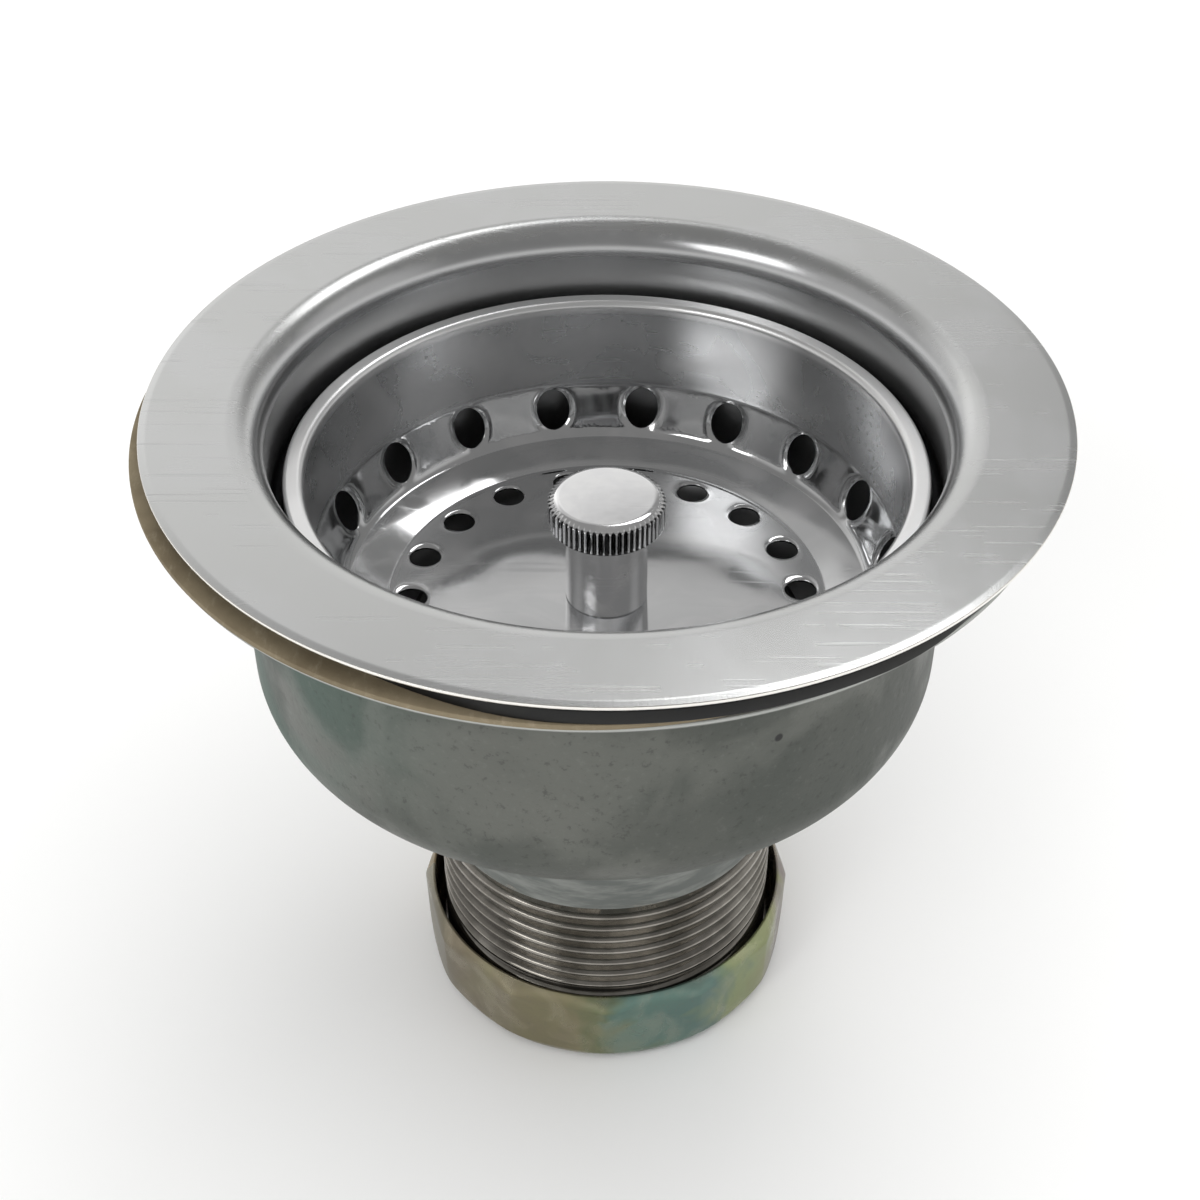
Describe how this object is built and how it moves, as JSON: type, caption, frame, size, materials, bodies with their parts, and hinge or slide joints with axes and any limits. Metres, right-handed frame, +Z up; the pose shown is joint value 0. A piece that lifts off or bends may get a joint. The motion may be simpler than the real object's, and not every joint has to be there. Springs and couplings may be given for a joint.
{
  "type": "basket strainer waste",
  "caption": "Flanged sink waste with a lift-out perforated basket and stopper, cup and washers under the flange, and a threaded tail with a backnut.",
  "frame": {"origin": "centre of the tail's lower end face", "axes": "+Z up along the waste's axis, -Y towards the viewer of the picture"},
  "size_m": [0.1156, 0.1142, 0.0959],
  "materials": {
    "flange_steel": "brushed flange, polished throat",
    "polished_steel": "mirror polished",
    "chrome": "chrome plated",
    "dull_zinc": "dull grey-green coated metal",
    "cut_thread": "bare cut thread, dull coated neck",
    "yellow_zinc": "yellow passivated zinc with iridescent patches",
    "black_rubber": "matt",
    "brown_card": "pressed fibre card",
    "spring_steel": "plain"
  },
  "bodies": {
    "waste": {"strainer_bowl": "flange_steel", "threaded_tail": "cut_thread", "tail_seal": "black_rubber", "cross_bar": "polished_steel", "rubber_gasket": "black_rubber", "card_washer": "brown_card", "cup": "dull_zinc"},
    "nut": {"backnut": "yellow_zinc"},
    "clip": {"finger_clip": "spring_steel"},
    "basket": {"basket_shell": "polished_steel", "knob_post": "chrome", "floor_washer": "polished_steel", "spacer_sleeve": "chrome", "stopper_plate": "polished_steel", "stopper": "black_rubber", "clamp_washer": "polished_steel", "stem": "chrome"}
  },
  "joints": [
    {"name": "basket_lift", "type": "slide", "parent": "waste", "child": "clip", "axis": [0, 0, 1], "range_m": [0, 0.055]},
    {"name": "basket_turn", "type": "hinge", "parent": "clip", "child": "basket", "pos_m": [0, 0, 0.0474], "axis": [0, 0, 1], "continuous": true},
    {"name": "backnut_run", "type": "slide", "parent": "waste", "child": "nut", "axis": [0, 0, 1], "range_m": [0, 0.0244]}
  ]
}
